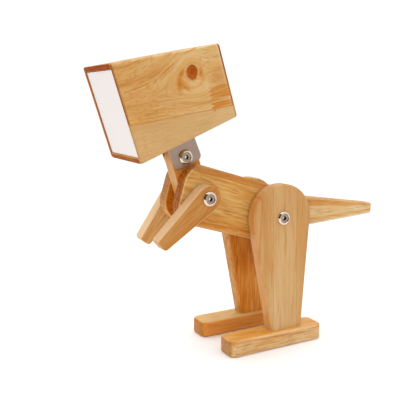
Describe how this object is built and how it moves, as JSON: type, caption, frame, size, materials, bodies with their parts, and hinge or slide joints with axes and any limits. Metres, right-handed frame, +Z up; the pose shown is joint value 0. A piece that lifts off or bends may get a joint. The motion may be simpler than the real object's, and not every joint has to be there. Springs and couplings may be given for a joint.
{
  "type": "table lamp",
  "caption": "Posable table lamp shaped like a long-tailed dinosaur, made of flat wooden boards on bolts, with a wedge-shaped wooden head that holds an opal light panel.",
  "frame": {"origin": "on the table, under the middle of the lamp's box in length and width", "axes": "the dinosaur faces -X with its tail towards +X, +Y is its right side, +Z is up"},
  "size_m": [0.3332, 0.089, 0.3098],
  "materials": {
    "wood": "pale hardwood, clear satin lacquer",
    "bolt_steel": "polished nickel plate",
    "bracket_steel": "satin",
    "screw_steel": "zinc plate",
    "pin_brass": "bright",
    "nylon": "natural nylon",
    "opal": "opal, light passes through",
    "light_board": "white solder mask",
    "light_chip": "phosphor",
    "white_plastic": "moulded",
    "black_plastic": "moulded"
  },
  "bodies": {
    "torso": {"left_cheek": "wood", "right_cheek": "wood", "torso_core": "wood", "torso_dowels": "wood", "shoulder_sleeve": "bolt_steel", "shoulder_screw": "bolt_steel", "hip_sleeve": "bolt_steel", "hip_screw": "bolt_steel", "neck_washers": "nylon", "arm_washers": "nylon", "tail_washers": "nylon", "leg_washers": "nylon"},
    "left_arm": {"left_arm": "wood"},
    "right_arm": {"right_arm": "wood"},
    "left_leg": {"left_leg": "wood", "left_foot": "wood", "left_foot_screws": "screw_steel"},
    "right_leg": {"right_leg": "wood", "right_foot": "wood", "right_foot_screws": "screw_steel"},
    "tail": {"tail": "wood"},
    "neck": {"neck": "wood", "head_sleeve": "bolt_steel", "head_screw": "bolt_steel", "ear_washers": "nylon"},
    "head": {"neck_bracket": "bracket_steel", "bracket_screws": "screw_steel", "bracket_nuts": "screw_steel", "head_left_side": "wood", "head_right_side": "wood", "head_top": "wood", "head_bottom": "wood", "head_rear": "wood", "diffuser": "opal", "diffuser_cleats": "wood", "led_cleats": "wood", "led_plate": "light_board", "led_chips": "light_chip", "led_screws": "screw_steel", "led_driver": "white_plastic", "switch_body": "screw_steel", "switch_nut": "screw_steel", "power_socket": "black_plastic", "socket_pin": "pin_brass", "socket_nut": "screw_steel"},
    "button": {"switch_button": "black_plastic"}
  },
  "joints": [
    {"name": "left_leg_swing", "type": "hinge", "parent": "torso", "child": "left_leg", "pos_m": [0.0159, 0, 0.1386], "axis": [0, 1, 0], "range_deg": [-20, 20]},
    {"name": "right_leg_swing", "type": "hinge", "parent": "torso", "child": "right_leg", "pos_m": [0.0159, 0, 0.1386], "axis": [0, 1, 0], "range_deg": [-20, 20]},
    {"name": "tail_swing", "type": "hinge", "parent": "torso", "child": "tail", "pos_m": [0.0159, 0, 0.1386], "axis": [0, 1, 0], "range_deg": [-25, 15]},
    {"name": "left_arm_swing", "type": "hinge", "parent": "torso", "child": "left_arm", "pos_m": [-0.07079, 0, 0.16527], "axis": [0, 1, 0], "range_deg": [-35, 47]},
    {"name": "right_arm_swing", "type": "hinge", "parent": "torso", "child": "right_arm", "pos_m": [-0.07079, 0, 0.16527], "axis": [0, 1, 0], "range_deg": [-24, 58]},
    {"name": "neck_swing", "type": "hinge", "parent": "torso", "child": "neck", "pos_m": [-0.07079, 0, 0.16527], "axis": [0, 1, 0], "range_deg": [-20, 25]},
    {"name": "head_tilt", "type": "hinge", "parent": "neck", "child": "head", "pos_m": [-0.08189, 0, 0.20349], "axis": [0, 1, 0], "range_deg": [-15, 15]},
    {"name": "button_press", "type": "slide", "parent": "head", "child": "button", "axis": [-0.9568, 0, -0.2907], "range_m": [0, 0.0025], "stiffness_N_per_m": 700, "springref_m": -0.001}
  ]
}
